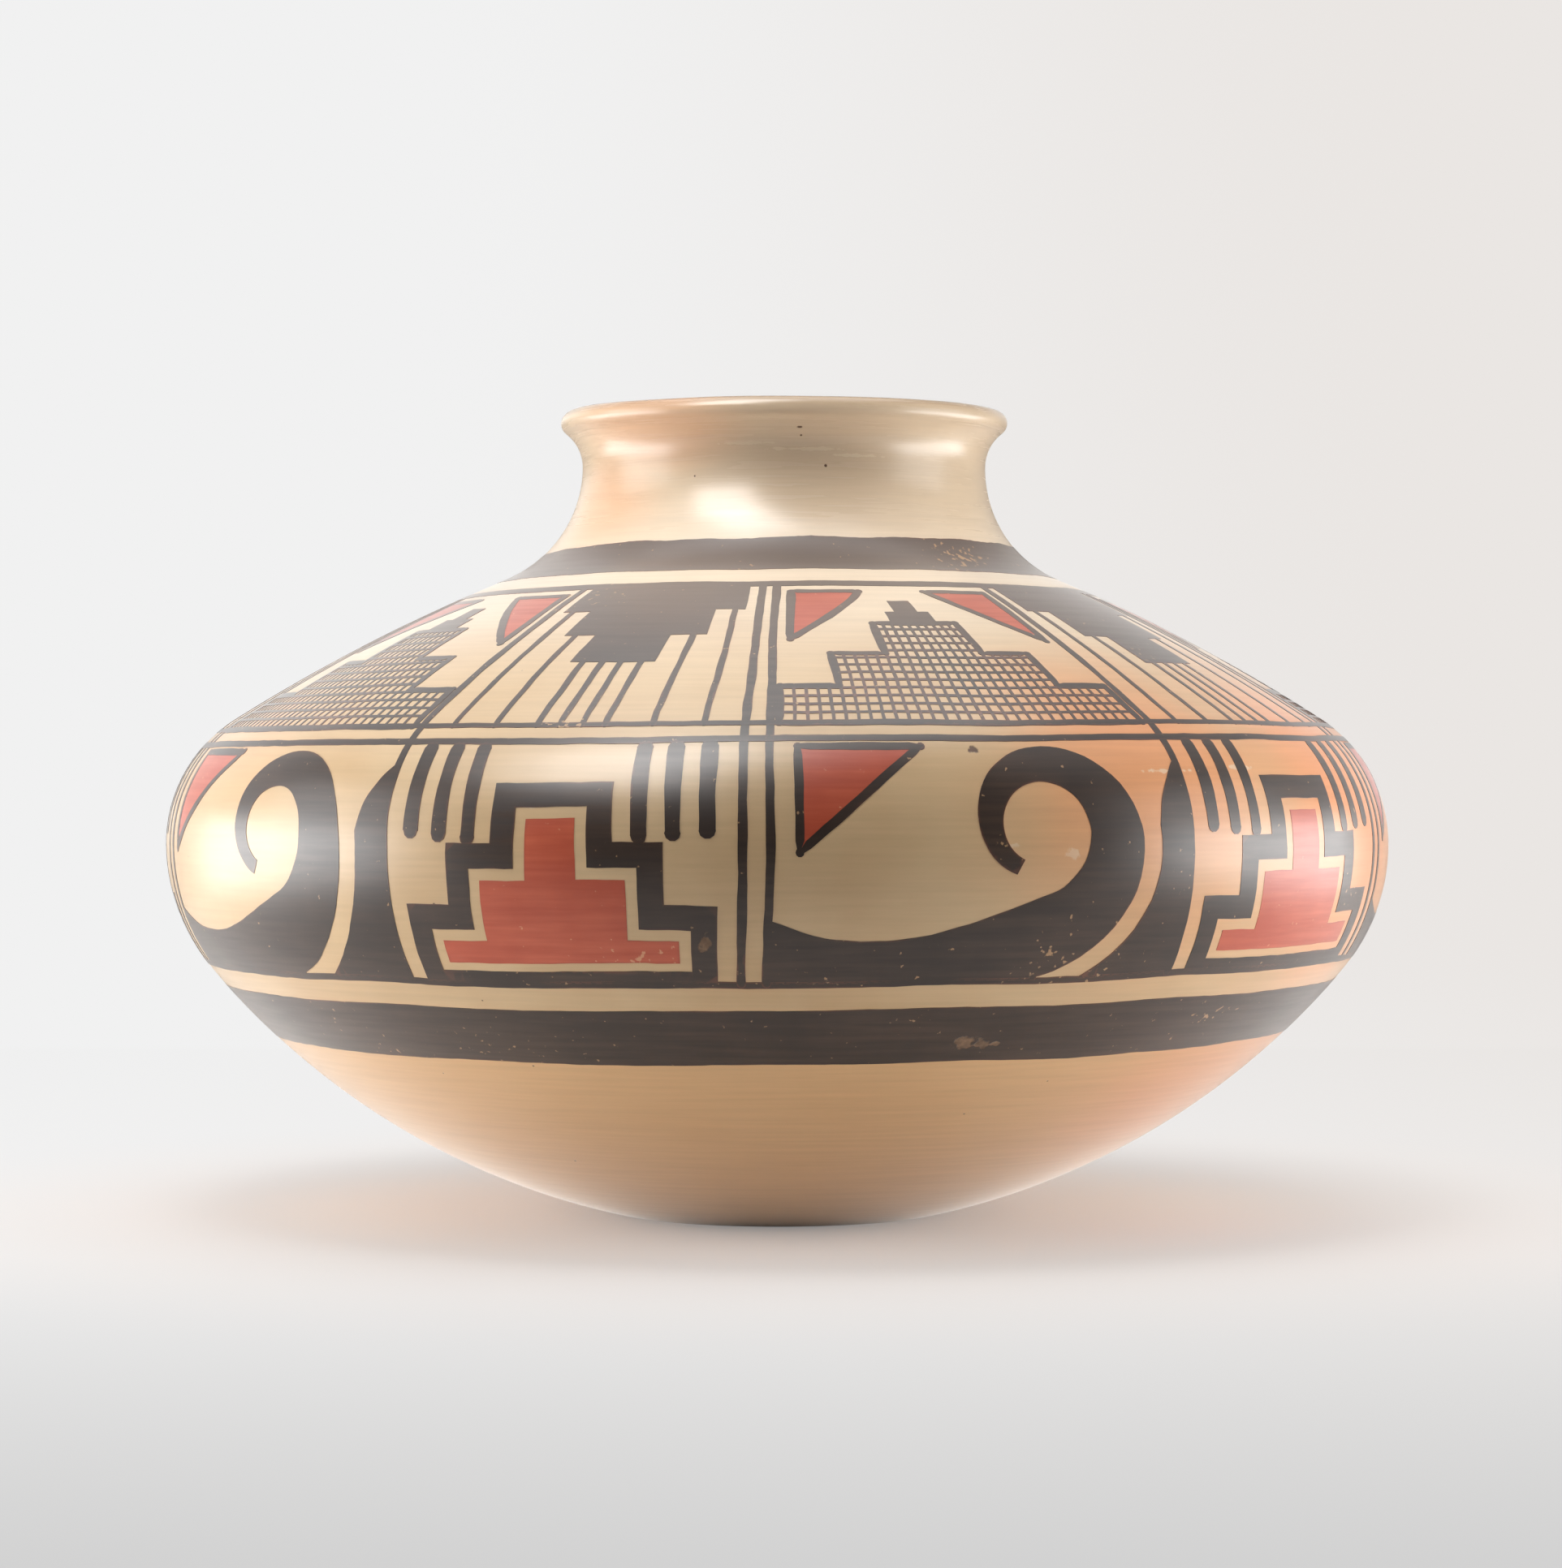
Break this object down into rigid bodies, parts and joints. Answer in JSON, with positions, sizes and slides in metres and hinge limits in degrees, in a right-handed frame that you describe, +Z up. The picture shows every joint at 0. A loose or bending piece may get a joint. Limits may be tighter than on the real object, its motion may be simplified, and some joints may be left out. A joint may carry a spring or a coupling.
{
  "type": "pueblo pottery jar",
  "caption": "Wide-bellied hand-coiled earthenware jar with a low shoulder, short flared neck and flat foot, burnished and painted, for holding water or flowers.",
  "frame": {"origin": "centre of the flat foot, on the surface that the jar stands on", "axes": "+Z up along the axis of the jar; the pictured side faces -Y"},
  "size_m": [0.304, 0.304, 0.2],
  "materials": {
    "burnished_clay": "burnished cream slip, satin",
    "black_paint": "fired black mineral paint, satin",
    "red_slip": "fired red clay slip, satin"
  },
  "bodies": {
    "root": {"base_dish": "burnished_clay", "wall_coil": "burnished_clay", "belly_coil_1": "burnished_clay", "belly_coil_2": "burnished_clay", "shoulder_coil_1": "burnished_clay", "shoulder_coil_2": "burnished_clay", "neck_coil": "burnished_clay", "lip_coil": "burnished_clay"}
  },
  "joints": []
}
